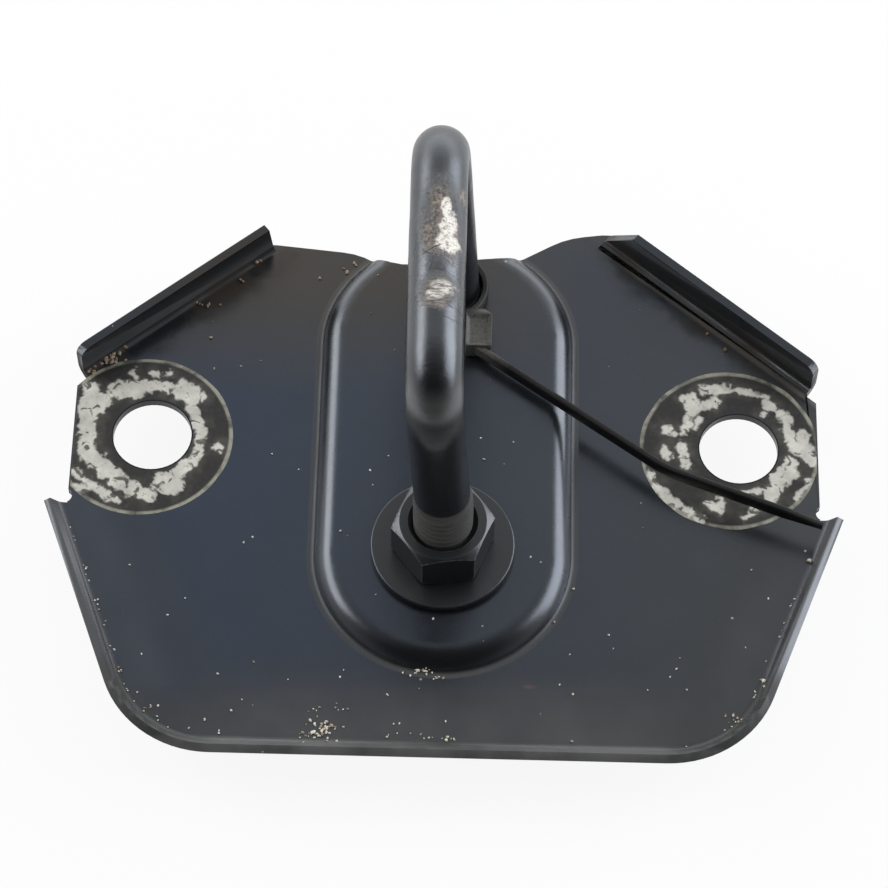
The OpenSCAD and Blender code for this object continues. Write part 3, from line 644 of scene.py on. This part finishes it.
def makeBarCoat():
    c = barCoat
    material, tree = newMaterial("rubbedDipCoat")
    inMm = addNode(tree, "VectorMath", {0: addNode(tree, "TexCoord", out="Object"), "Scale": 1 / mm}, operation="SCALE")
    axes = tree.nodes.new("ShaderNodeSeparateXYZ")
    tree.links.new(inMm, axes.inputs[0])
    top = addNode(tree, "MapRange", {0: axes.outputs[2], 1: 54, 2: 56, 3: 0, 4: 1})
    thread = addNode(tree, "MapRange", {0: axes.outputs[2], 1: 23.8, 2: 23.2, 3: 0, 4: 1})
    frontLeg = addNode(tree, "MapRange", {0: axes.outputs[1], 1: 2, 2: -2, 3: 0, 4: 1})
    thread = addNode(tree, "Math", {0: thread, 1: frontLeg}, operation="MULTIPLY")
    fine = addNode(tree, "TexNoise", {"Vector": inMm, "Scale": 1 / 0.6, "Detail": 5, "Roughness": 0.75})
    crosswise = addNode(tree, "VectorMath", {0: inMm, 1: (0.35, 1.7, 1)}, operation="MULTIPLY")
    crossFine = addNode(tree, "TexNoise", {"Vector": crosswise, "Scale": 1 / 0.6, "Detail": 5, "Roughness": 0.7})
    isFront = addNode(tree, "Math", {0: axes.outputs[1], 1: -1}, operation="LESS_THAN")
    fine = addNode(tree, "Mix", {0: isFront, 2: fine, 3: crossFine})
    mid = addNode(tree, "TexNoise", {"Vector": inMm, "Scale": 1 / 2.0, "Detail": 4, "Roughness": 0.65})
    stretched = addNode(tree, "VectorMath", {0: inMm, 1: (1, 0.12, 1)}, operation="MULTIPLY")
    draw = addNode(tree, "TexNoise", {"Vector": stretched, "Scale": 1 / c["drawLine"], "Detail": 2})

    # soft-edged union of ragged ovals, on top of the bar only
    def patches(places, ragged, soft):
        nearest = None
        for x, y, halfX, halfY in places:
            away = addNode(tree, "VectorMath", {0: inMm, 1: (x, y, 0)}, operation="SUBTRACT")
            away = addNode(tree, "VectorMath", {0: away, 1: (1 / halfX, 1 / halfY, 0)}, operation="MULTIPLY")
            away = addNode(tree, "VectorMath", {0: away}, operation="LENGTH", out="Value")
            nearest = away if nearest is None else addNode(tree, "Math", {0: nearest, 1: away}, operation="MINIMUM")
        nearest = addNode(tree, "Math", {0: mid, 1: ragged, 2: nearest}, operation="MULTIPLY_ADD")
        nearest = addNode(tree, "Math", {0: fine, 1: ragged, 2: nearest}, operation="MULTIPLY_ADD")
        edge = 1 + ragged
        share = addNode(tree, "MapRange", {0: nearest, 1: edge + soft / 2, 2: edge - soft / 2, 3: 0, 4: 1})
        return addNode(tree, "Math", {0: share, 1: top}, operation="MULTIPLY")

    crack = None
    for x, y, halfLong, halfWide, turn in c["cracks"]:
        a = math.radians(turn)
        away = addNode(tree, "VectorMath", {0: inMm, 1: (x, y, 0)}, operation="SUBTRACT")
        u = addNode(tree, "VectorMath", {0: away, 1: (math.cos(a) / halfLong, math.sin(a) / halfLong, 0)},
                    operation="DOT_PRODUCT", out="Value")
        v = addNode(tree, "VectorMath", {0: away, 1: (-math.sin(a) / halfWide, math.cos(a) / halfWide, 0)},
                    operation="DOT_PRODUCT", out="Value")
        v = addNode(tree, "Math", {0: mid, 1: 9.0, 2: v}, operation="MULTIPLY_ADD")
        v = addNode(tree, "Math", {0: v, 1: 4.5}, operation="SUBTRACT")
        u = addNode(tree, "Math", {0: u, 1: u}, operation="MULTIPLY")
        away = addNode(tree, "Math", {0: v, 1: v, 2: u}, operation="MULTIPLY_ADD")
        crack = away if crack is None else addNode(tree, "Math", {0: crack, 1: away}, operation="MINIMUM")
    crack = addNode(tree, "MapRange", {0: crack, 1: 1.4, 2: 0.6, 3: 0, 4: 1})
    crack = addNode(tree, "Math", {0: crack, 1: top}, operation="MULTIPLY")

    scuff = patches(c["scuffs"], 0.6, 0.5)
    pit = addNode(tree, "TexNoise", {"Vector": inMm, "Scale": 1 / c["pitSize"], "Detail": 2})
    pit = addNode(tree, "MapRange", {0: pit, 1: 0.6, 2: 0.66, 3: 0, 4: 0.8})
    pit = addNode(tree, "Math", {0: pit, 1: scuff}, operation="MULTIPLY")
    rust = patches(c["rusts"], 1.7, 0.5)
    bare = patches(c["bares"], 1.9, 0.3)
    streaks = addNode(tree, "MapRange", {0: crossFine, 1: 0.38, 2: 0.62, 3: 0.2, 4: 0.85})
    streaks = addNode(tree, "Mix", {0: isFront, 2: 1.0, 3: streaks})
    bare = addNode(tree, "Math", {0: bare, 1: streaks}, operation="MULTIPLY")
    scuffTone = addNode(tree, "MapRange", {0: fine, 1: 0.35, 2: 0.65, 3: 0.1, 4: 0.7})
    scuff = addNode(tree, "Math", {0: scuff, 1: scuffTone}, operation="MULTIPLY")
    tone = addNode(tree, "MapRange", {0: draw, 1: 0.3, 2: 0.7, 3: 0.8, 4: 1.2})
    base = addNode(tree, "VectorMath", {0: toLinear(c["hex"])[:3], "Scale": tone}, operation="SCALE")
    leg = addNode(tree, "MapRange", {0: axes.outputs[2], 1: 52, 2: 50.5, 3: 0, 4: 1})
    # painted grey reflection on the front bend, below its dark middle
    bendTop = addNode(tree, "MapRange", {0: axes.outputs[2], 1: 55.4, 2: 53.4, 3: 0, 4: 0.8})
    bendLow = addNode(tree, "MapRange", {0: axes.outputs[2], 1: 49.8, 2: 51.4, 3: 0.12, 4: 1})
    bendReflection = addNode(tree, "Math", {0: bendTop, 1: bendLow}, operation="MULTIPLY")
    bendFront = addNode(tree, "MapRange", {0: axes.outputs[1], 1: -17.5, 2: -20, 3: 0, 4: 1})
    bendReflection = addNode(tree, "Math", {0: bendReflection, 1: bendFront}, operation="MULTIPLY")
    base = addNode(tree, "Mix", {0: bendReflection, 6: base, 7: toLinear(c["bendReflectionHex"])}, out=2, data_type="RGBA")
    threadDust = addNode(tree, "Math", {0: thread, 1: 0.5}, operation="MULTIPLY")
    base = addNode(tree, "Mix", {0: threadDust, 6: base, 7: toLinear(c["threadDustHex"])}, out=2, data_type="RGBA")
    colour = addNode(tree, "Mix", {0: scuff, 6: base, 7: toLinear(c["scuffHex"])}, out=2, data_type="RGBA")
    rustTone = addNode(tree, "MapRange", {0: fine, 1: 0.42, 2: 0.6, 3: 0, 4: 1})
    rustColour = addNode(tree, "Mix", {0: rustTone, 6: toLinear(c["deepRustHex"]), 7: toLinear(c["rustHex"])}, out=2, data_type="RGBA")
    colour = addNode(tree, "Mix", {0: rust, 6: colour, 7: rustColour}, out=2, data_type="RGBA")
    colour = addNode(tree, "Mix", {0: pit, 6: colour, 7: toLinear(c["crackHex"])}, out=2, data_type="RGBA")
    steelTone = addNode(tree, "MapRange", {0: fine, 1: 0.34, 2: 0.52, 3: 0, 4: 1})
    steelColour = addNode(tree, "Mix", {0: steelTone, 6: toLinear(c["dullSteelHex"]), 7: toLinear(c["steelHex"])}, out=2, data_type="RGBA")
    colour = addNode(tree, "Mix", {0: bare, 6: colour, 7: steelColour}, out=2, data_type="RGBA")
    colour = addNode(tree, "Mix", {0: crack, 6: colour, 7: toLinear(c["crackHex"])}, out=2, data_type="RGBA")
    rough = addNode(tree, "MapRange", {0: mid, 1: 0.3, 2: 0.7, 3: c["roughness"] - 0.04, 4: c["roughness"] + 0.06})
    rubbed = addNode(tree, "MapRange", {0: axes.outputs[1], 1: -8, 2: 12, 3: 0, 4: c["topRoughness"] - c["roughness"]})
    rough = addNode(tree, "Math", {0: rough, 1: rubbed}, operation="ADD")
    rough = addNode(tree, "Math", {0: scuff, 1: 0.3, 2: rough}, operation="MULTIPLY_ADD")
    rough = addNode(tree, "Math", {0: rust, 1: 0.25, 2: rough}, operation="MULTIPLY_ADD")
    rough = addNode(tree, "Math", {0: thread, 1: 0.2, 2: rough}, operation="MULTIPLY_ADD")
    gloss = addNode(tree, "MapRange", {0: leg, 1: 0, 2: 1, 3: 1, 4: c["legGloss"]})
    sheen = addNode(tree, "VectorMath", {0: toLinear(c["sheenHex"])[:3], "Scale": gloss}, operation="SCALE")
    metal = addNode(tree, "Math", {0: bare, 1: 0.35}, operation="MULTIPLY")
    ripple = addNode(tree, "MapRange", {0: scuff, 1: 0, 2: 0.6, 3: 0.4, 4: 1.2})
    height = addNode(tree, "Math", {0: fine, 1: ripple}, operation="MULTIPLY")
    height = addNode(tree, "Math", {0: mid, 1: 0.2, 2: height}, operation="MULTIPLY_ADD")
    height = addNode(tree, "Math", {0: crack, 1: -1.0, 2: height}, operation="MULTIPLY_ADD")
    height = addNode(tree, "Math", {0: pit, 1: -0.6, 2: height}, operation="MULTIPLY_ADD")
    bump = addNode(tree, "Bump", {"Strength": 0.6, "Distance": 0.2 * mm, "Height": height})
    shader = addNode(tree, "BsdfPrincipled", {
        "Base Color": colour, "Metallic": metal, "Roughness": rough, "Normal": bump, "IOR": 1.6,
        "Specular IOR Level": 1.0, "Specular Tint": sheen})
    addNode(tree, "OutputMaterial", {"Surface": shader})
    return material


barMaterial = makeBarCoat()
addPiece("strikerBar", skin("strikerBar", [(loopRings(), False), (footRings(), False)]), barMaterial, ["striker_loop"])
print("striker loop: bar, thread and foot")

# nuts and washers: the same coat on turned and stamped steel, a little duller, with a painted pale highlight along the
# edges
fastener = {
    "hex": "#1A1B1C",
    # painted cool tint of the reflection, standing in for a bluish light
    "sheenHex": "#E2E8EE",
    "roughness": 0.31,
    "edgeHighlightHex": "#A3A5A7",
    "highlightReach": 0.3,  # how far the painted edge highlight reaches in
    "toolMark": 0.6,  # spacing of the turning marks; drawn coarser than the real 0.1 so that they show
    "edgeWidth": 0.28,
    "edgeAngle": 25,
}


def makeFastenerCoat():
    c = fastener
    material, tree = newMaterial("coatedSteelFastener")
    inMm = addNode(tree, "VectorMath", {0: addNode(tree, "TexCoord", out="Object"), "Scale": 1 / mm}, operation="SCALE")
    fine = addNode(tree, "TexNoise", {"Vector": inMm, "Scale": 1 / c["toolMark"], "Detail": 4, "Roughness": 0.6})
    tone = addNode(tree, "MapRange", {0: fine, 1: 0.3, 2: 0.7, 3: 0.95, 4: 1.05})
    base = addNode(tree, "VectorMath", {0: toLinear(c["hex"])[:3], "Scale": tone}, operation="SCALE")
    # painted highlight: a pale colour along every edge, found where the bevelled normal turns away
    rounded = addNode(tree, "Bevel", {"Radius": c["highlightReach"] * mm}, samples=6)
    bend = addNode(tree, "VectorMath", {0: rounded, 1: addNode(tree, "NewGeometry", out="Normal")},
                   operation="DOT_PRODUCT", out="Value")
    edge = addNode(tree, "MapRange", {0: bend, 1: 0.985, 2: 0.9, 3: 0, 4: 0.75})
    broken = addNode(tree, "MapRange", {0: fine, 1: 0.4, 2: 0.6, 3: 0.2, 4: 1})
    edge = addNode(tree, "Math", {0: edge, 1: broken}, operation="MULTIPLY")
    colour = addNode(tree, "Mix", {0: edge, 6: base, 7: toLinear(c["edgeHighlightHex"])}, out=2, data_type="RGBA")
    rough = addNode(tree, "MapRange", {0: fine, 1: 0.3, 2: 0.7, 3: c["roughness"] - 0.01, 4: c["roughness"] + 0.02})
    bump = addNode(tree, "Bump", {"Strength": 0.04, "Distance": 0.03 * mm, "Height": fine})
    shader = addNode(tree, "BsdfPrincipled", {
        "Base Color": colour, "Roughness": rough, "Normal": bump, "IOR": 1.6,
        "Specular IOR Level": 0.8, "Specular Tint": toLinear(c["sheenHex"])})
    addNode(tree, "OutputMaterial", {"Surface": shader})
    return material


fastenerMaterial = makeFastenerCoat()
for node in ("upper_washer", "upper_nut", "lower_washer", "lower_nut"):
    dress(breakEdges(node, fastener["edgeWidth"], fastener["edgeAngle"]), fastenerMaterial)
print("fasteners: nuts and washers")

# cable tie: moulded nylon 66 strap, loose round the rear leg, with its head in front and the tail laid over the plate.
# The eye gets a dull black plastic with a soft sheen on its narrow edges.
tie = {
    "hex": "#0B0B0C",
    "roughness": 0.42,
    "scuffHex": "#5C5B57",  # scuffed and dusty round the head
    "scuffReach": 9,
    "strapWidth": 2.5,
    "strapThick": 1.1,
    "loopInner": 5.7,
    "loopZ": 6.0,
    "rearY": 28,
    "tailZ": 6.7,
    "headMiddle": (5.25, 18.3),
    "headSize": (4.5, 6.4, 4.0),
    "tailStart": (4.125, 16.167),
    "heading": -35.5,
    "firstRun": 38,
    "turn": 14.7,
    "bendRadius": 20,
    "lastRun": 25.5,
    "tipLength": 7,
    "tipWidth": 1.0,
    "toothPitch": 1.0,  # ratchet teeth on the strap's inner face
    "toothDepth": 0.16,
}


def strapRing(place, across, up, thick, width, notch):
    # rounded section: across is the strap's thickness, up its width; the notch dents the middle of one broad face
    t, w, r = thick / 2, width / 2, min(0.28, thick * 0.3)
    outline = []
    for cx, cy, from_ in ((t - r, w - r, 0), (r - t, w - r, 90), (r - t, r - w, 180), (t - r, r - w, 270)):
        for i in range(4):
            a = math.radians(from_ + 30 * i)
            outline.append((cx + r * math.cos(a), cy + r * math.sin(a)))
    inner = [(t - notch, -w * 0.62), (t - notch, w * 0.62)]
    return [place + across * x + up * y for x, y in outline + inner]


def tailRings():
    c = tie
    heading = math.radians(c["heading"])
    end = math.radians(c["heading"] + c["turn"])
    place = Vector((c["tailStart"][0], c["tailStart"][1], c["tailZ"]))
    along, path = 0.0, []
    total = c["firstRun"] + c["bendRadius"] * (end - heading) + c["lastRun"]
    bendEnd = total - c["lastRun"]
    step = c["toothPitch"] / 4
    while along <= total + 1e-6:
        share = min(1, max(0, (along - c["firstRun"]) / (bendEnd - c["firstRun"])))
        angle = heading + (end - heading) * share
        path.append((place.copy(), angle, along))
        place += Vector((math.cos(angle), math.sin(angle), 0)) * step
        along += step
    rings = []
    for i, (point, angle, at) in enumerate(path):
        taper = min(1, max(0, (at - total + c["tipLength"]) / c["tipLength"]))
        width = c["strapWidth"] + (c["tipWidth"] - c["strapWidth"]) * taper
        toothed = 6 < at < total - c["tipLength"] - 1
        notch = c["toothDepth"] * ((i % 4) / 3 if toothed else 0.5)
        across = Vector((-math.sin(angle), math.cos(angle), 0))
        rings.append(strapRing(point, across, Vector((0, 0, 1)), c["strapThick"], width, notch))
    return rings


def loopStrapRings():
    c = tie
    middle = c["loopInner"] + c["strapThick"] / 2
    up = Vector((0, 0, 1))
    centre = Vector((0, c["rearY"], c["loopZ"]))
    rings = []
    for i in range(96):
        a = 2 * math.pi * i / 96
        out = Vector((math.cos(a), math.sin(a), 0))
        notch = c["toothDepth"] * ((i % 4) / 3)
        rings.append(strapRing(centre + out * middle, -out, up, c["strapThick"], c["strapWidth"], notch))
    return rings


def headMesh():
    c = tie
    shape = bmesh.new()
    x, y = c["headMiddle"]
    sx, sy, sz = c["headSize"]
    place = Matrix.Translation(Vector((x, y, c["tailZ"])) * mm) @ Matrix.Diagonal(Vector((sx, sy, sz, 1 / mm)) * mm)
    bmesh.ops.create_cube(shape, size=1, matrix=place)
    top = max(shape.faces, key=lambda f: f.calc_center_median().z)
    bmesh.ops.inset_individual(shape, faces=[top], thickness=0.9 * mm)
    bmesh.ops.translate(shape, verts=top.verts, vec=(0, 0, -0.7 * mm))
    rear = max(shape.faces, key=lambda f: f.calc_center_median().y)
    bmesh.ops.inset_individual(shape, faces=[rear], thickness=0.75 * mm)
    neck = c["rearY"] - c["loopInner"] + c["strapThick"] / 2 - (y + sy / 2)
    bmesh.ops.translate(shape, verts=rear.verts, vec=(-0.7 * mm, neck * mm, 0))
    bmesh.ops.bevel(shape, geom=shape.edges[:], offset=0.3 * mm, segments=3, affect="EDGES", profile=0.5)
    mesh = bpy.data.meshes.new("tieHead")
    shape.to_mesh(mesh)
    shape.free()
    return mesh


def makeNylon():
    c = tie
    material, tree = newMaterial("mouldedNylon")
    inMm = addNode(tree, "VectorMath", {0: addNode(tree, "TexCoord", out="Object"), "Scale": 1 / mm}, operation="SCALE")
    grain = addNode(tree, "TexNoise", {"Vector": inMm, "Scale": 1 / 0.5, "Detail": 3})
    tone = addNode(tree, "MapRange", {0: grain, 1: 0.3, 2: 0.7, 3: 0.7, 4: 1.4})
    base = addNode(tree, "VectorMath", {0: toLinear(c["hex"])[:3], "Scale": tone}, operation="SCALE")
    near = addNode(tree, "VectorMath", {0: inMm, 1: c["headMiddle"] + (c["tailZ"],)}, operation="DISTANCE", out="Value")
    scuff = addNode(tree, "MapRange", {0: near, 1: c["scuffReach"], 2: 3, 3: 0, 4: 0.9})
    dusty = addNode(tree, "MapRange", {0: grain, 1: 0.35, 2: 0.6, 3: 0.65, 4: 1})
    scuff = addNode(tree, "Math", {0: scuff, 1: dusty}, operation="MULTIPLY")
    colour = addNode(tree, "Mix", {0: scuff, 6: base, 7: toLinear(c["scuffHex"])}, out=2, data_type="RGBA")
    rough = addNode(tree, "MapRange", {0: grain, 1: 0.3, 2: 0.7, 3: c["roughness"] - 0.06, 4: c["roughness"] + 0.08})
    bump = addNode(tree, "Bump", {"Strength": 0.3, "Distance": 0.03 * mm, "Height": grain})
    shader = addNode(tree, "BsdfPrincipled", {
        "Base Color": colour, "Roughness": rough, "Normal": bump, "IOR": 1.53, "Specular IOR Level": 0.3})
    addNode(tree, "OutputMaterial", {"Surface": shader})
    return material


nylon = makeNylon()
strap = addPiece("tieStrap", skin("tieStrap", [(tailRings(), False), (loopStrapRings(), True)]), nylon, ["cable_tie"])
headPiece = headMesh()
headPiece.polygons.foreach_set("use_smooth", [True] * len(headPiece.polygons))
addPiece("tieHead", headPiece, nylon)
print("cable tie: strap and head")

# road grit: quartz and sandstone grains held in the creases, dust-dry.
# The eye gets small pale beige lumps in clusters, with odd single ones over the plate.
grit = {
    "seed": 7,
    "paleHex": "#F0EADD",
    "darkHex": "#A08B70",
    "earthHex": "#80684F",  # grains at the rear are stained with earth
    # middle x, y, spread x, y, count, grain size
    "clusters": [
        (-18.6, -54.4, 1.7, 1.0, 44, 0.55), (-20.4, -51.4, 0.7, 0.7, 6, 0.4), (-16.6, -50.4, 0.9, 0.8, 5, 0.45),
        (-21.6, -55.2, 0.9, 0.3, 8, 0.4), (-6.6, -53.6, 1.4, 1.0, 6, 0.45), (1.2, -55.4, 1.0, 0.5, 7, 0.5),
        (-2.6, -55.2, 1.2, 0.5, 5, 0.35), (-2.2, -43.0, 0.6, 0.45, 16, 0.55), (-4.2, -43.9, 0.6, 0.25, 7, 0.4),
        (-0.4, -44.6, 0.6, 0.25, 6, 0.45), (-16.3, -44.9, 0.05, 0.05, 1, 0.75), (-8.5, -47.7, 0.1, 0.1, 1, 0.6),
        (48.8, -50.9, 1.0, 0.7, 14, 0.45), (49.3, -52.4, 0.5, 0.3, 5, 0.35), (53.1, -43.9, 0.4, 0.7, 4, 0.8),
        (51.9, -46.7, 0.5, 0.4, 6, 0.35), (61.4, -21.3, 0.05, 0.05, 1, 1.1), (21.9, -27.7, 0.1, 0.1, 1, 0.8),
        (18.8, -33.9, 0.1, 0.1, 1, 0.6), (27.8, -36, 0.1, 0.1, 1, 0.6), (21.9, -47.1, 0.1, 0.1, 1, 0.5),
        (21.8, -55.3, 0.1, 0.1, 1, 0.5), (-58.8, 14.9, 1.4, 0.8, 30, 0.85), (-61.4, 12.2, 0.5, 0.8, 14, 0.75),
        (-57.0, 17.4, 0.6, 0.4, 3, 0.9), (-33.8, 35.6, 0.9, 0.4, 4, 0.9), (-36.4, 31.2, 0.4, 0.3, 2, 0.7),
        (-17.0, 35.4, 0.5, 0.3, 2, 0.9), (-18.8, 34.2, 0.3, 0.3, 2, 0.8), (-22.7, 32.2, 0.1, 0.1, 1, 0.9),
        (57.7, 17.0, 0.05, 0.05, 1, 1.3), (60.2, 15.4, 0.1, 0.1, 1, 0.7), (45.1, 22.8, 0.1, 0.1, 1, 0.7),
        (48, 19.6, 0.1, 0.1, 1, 0.7), (-41.2, 19.5, 0.1, 0.1, 1, 0.7), (-44, 26.4, 2.2, 0.3, 9, 0.55),
        (-38, -53, 0.1, 0.1, 1, 0.5), (-32, -49.4, 0.1, 0.1, 1, 0.6), (-33.8, -51.3, 0.1, 0.1, 1, 0.5),
    ],
    # along the crease of the left lip: from, to as lengths back from the corner, count, grain size
    "creases": [(-1, -14, 16, 2, 26, 0.42), (-1, 16, 30, 1.2, 8, 0.35), (1, -16, 20, 1.2, 14, 0.32)],
    "singles": 60,
}


def sheetTop(x, y):
    # height of the plate's upper face: boss, its wall, or the flat
    nearestY = min(19, max(-22, y))
    out = math.hypot(x, y - nearestY)
    return 1.5 + 3.0 * (1 - smooth((out - 17.6) / 4.6))


def creasePoint(side, along, off):
    # along the bend of a side lip: positive runs back up the slant, negative runs round the corner
    slant = math.radians(20.6097)
    radius = 15.8 + off
    if along >= 0:
        x = 37.1 + radius * math.cos(slant) + along * math.sin(slant)
        y = -40.1 - radius * math.sin(slant) + along * math.cos(slant)
    else:
        a = -slant + along / 15.8
        x, y = 37.1 + radius * math.cos(a), -40.1 + radius * math.sin(a)
    rise = 1.5 - math.sqrt(max(0, 2.25 - off * off)) if off > 0 else 0
    return Vector((side * x, y, 1.5 + rise))


def makeGrit():
    c = grit
    dice = random.Random(c["seed"])
    places = []
    for x, y, spreadX, spreadY, count, grain in c["clusters"]:
        for _ in range(count):
            px, py = dice.gauss(x, spreadX), dice.gauss(y, spreadY)
            places.append((Vector((px, py, sheetTop(px, py))), grain * dice.uniform(0.55, 1.15)))
    for side, low, high, spread, count, grain in c["creases"]:
        for _ in range(count):
            off = 0.4 - abs(dice.gauss(0, spread * 0.35))
            places.append((creasePoint(side, dice.uniform(low, high), off), grain * dice.uniform(0.55, 1.2)))
    laid = len(places)
    while len(places) < laid + c["singles"]:
        px, py = dice.uniform(-60, 60), dice.uniform(-56, 32)
        if abs(px) * 0.936 - py * 0.352 > 62 or abs(px) * 0.639 + py * 0.769 > 46:
            continue
        if math.hypot(abs(px) - 50, py) < 16 or math.hypot(px, py + 22) < 13 or math.hypot(px, py - 28) < 8:
            continue
        places.append((Vector((px, py, sheetTop(px, py))), dice.uniform(0.2, 0.5)))
    shape = bmesh.new()
    for place, grain in places:
        turn = Matrix.Rotation(dice.uniform(0, 6.28), 4, "Z") @ Matrix.Rotation(dice.uniform(0, 6.28), 4, "X")
        stretch = Matrix.Diagonal((dice.uniform(0.8, 1.3), dice.uniform(0.7, 1.1), dice.uniform(0.6, 0.9), 1))
        lift = Matrix.Translation((place + Vector((0, 0, grain * 0.28))) * mm)
        made = bmesh.ops.create_icosphere(shape, subdivisions=1, radius=grain / 2 * mm, matrix=lift @ turn @ stretch)
        for v in made["verts"]:
            v.co += Vector([dice.uniform(-0.09, 0.09) * grain * mm for _ in range(3)])
    mesh = bpy.data.meshes.new("roadGrit")
    shape.to_mesh(mesh)
    shape.free()
    material, tree = newMaterial("drySand")
    luck = addNode(tree, "NewGeometry", out="Random Per Island")
    colour = addNode(tree, "Mix", {0: addNode(tree, "MapRange", {0: luck, 1: 0.35, 2: 1, 3: 0, 4: 1}),
                                   6: toLinear(c["paleHex"]), 7: toLinear(c["darkHex"])}, out=2, data_type="RGBA")
    axes = tree.nodes.new("ShaderNodeSeparateXYZ")
    tree.links.new(addNode(tree, "TexCoord", out="Object"), axes.inputs[0])
    stain = addNode(tree, "MapRange", {0: axes.outputs[1], 1: 2 * mm, 2: 12 * mm, 3: 0, 4: 0.75})
    colour = addNode(tree, "Mix", {0: stain, 6: colour, 7: toLinear(c["earthHex"])}, out=2, data_type="RGBA")
    shader = addNode(tree, "BsdfPrincipled", {"Base Color": colour, "Roughness": 0.9, "Specular IOR Level": 0.3})
    addNode(tree, "OutputMaterial", {"Surface": shader})
    return addPiece("roadGrit", mesh, material)


makeGrit()
print("grit: laid")
